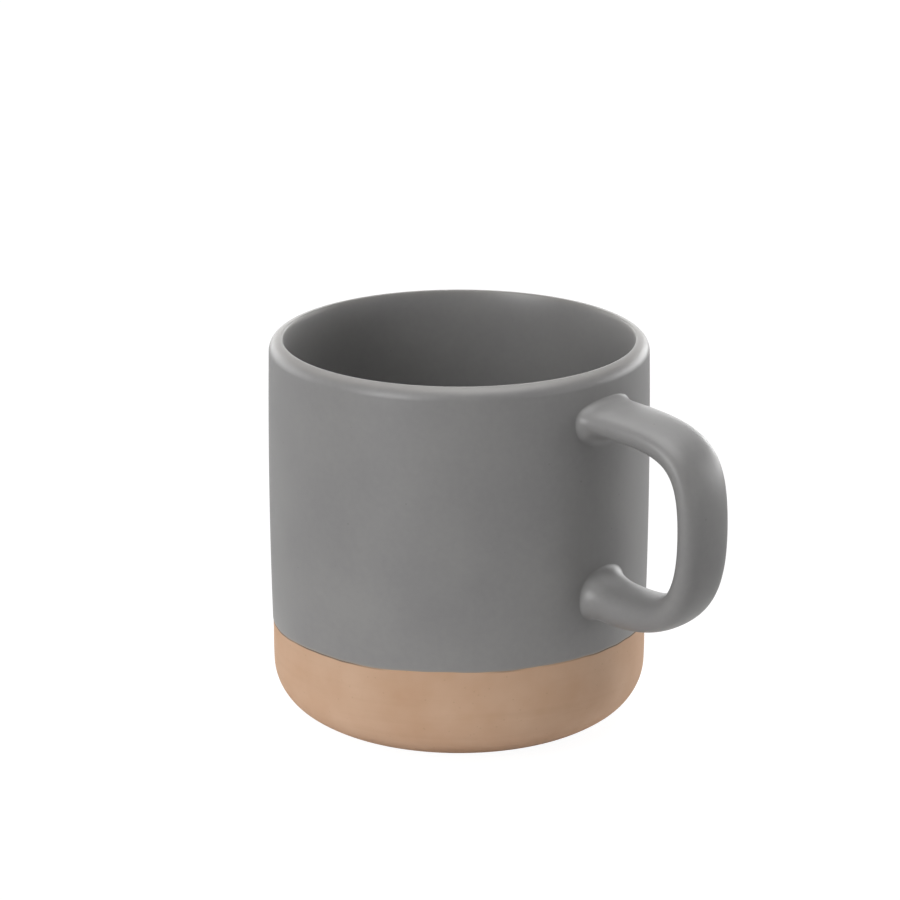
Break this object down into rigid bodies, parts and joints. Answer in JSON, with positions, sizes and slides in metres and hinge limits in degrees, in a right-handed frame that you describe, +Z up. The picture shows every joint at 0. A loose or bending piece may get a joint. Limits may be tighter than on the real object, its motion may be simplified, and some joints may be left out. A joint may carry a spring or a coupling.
{
  "type": "mug",
  "caption": "Stoneware mug with a looped strap handle, a bare clay base with a rounded heel and a half dip of satin grey glaze inside and out.",
  "frame": {"origin": "centre of the foot ring, on the plane that the mug stands on", "axes": "+Z up along the cup's axis, towards the mouth; +X towards the middle of the handle; +Y completes the right-handed frame"},
  "size_m": [0.1199, 0.0884, 0.0915],
  "materials": {
    "stoneware": "unglazed fired stoneware, fine matt turning streaks",
    "slip": "fired clay slip, matt",
    "grey_glaze": "dipped satin grey glaze"
  },
  "bodies": {
    "root": {"clay_cup": "stoneware", "clay_handle": "stoneware", "upper_slip": "slip", "lower_slip": "slip", "outer_glaze": "grey_glaze", "inner_glaze": "grey_glaze", "handle_glaze": "grey_glaze"}
  },
  "joints": []
}
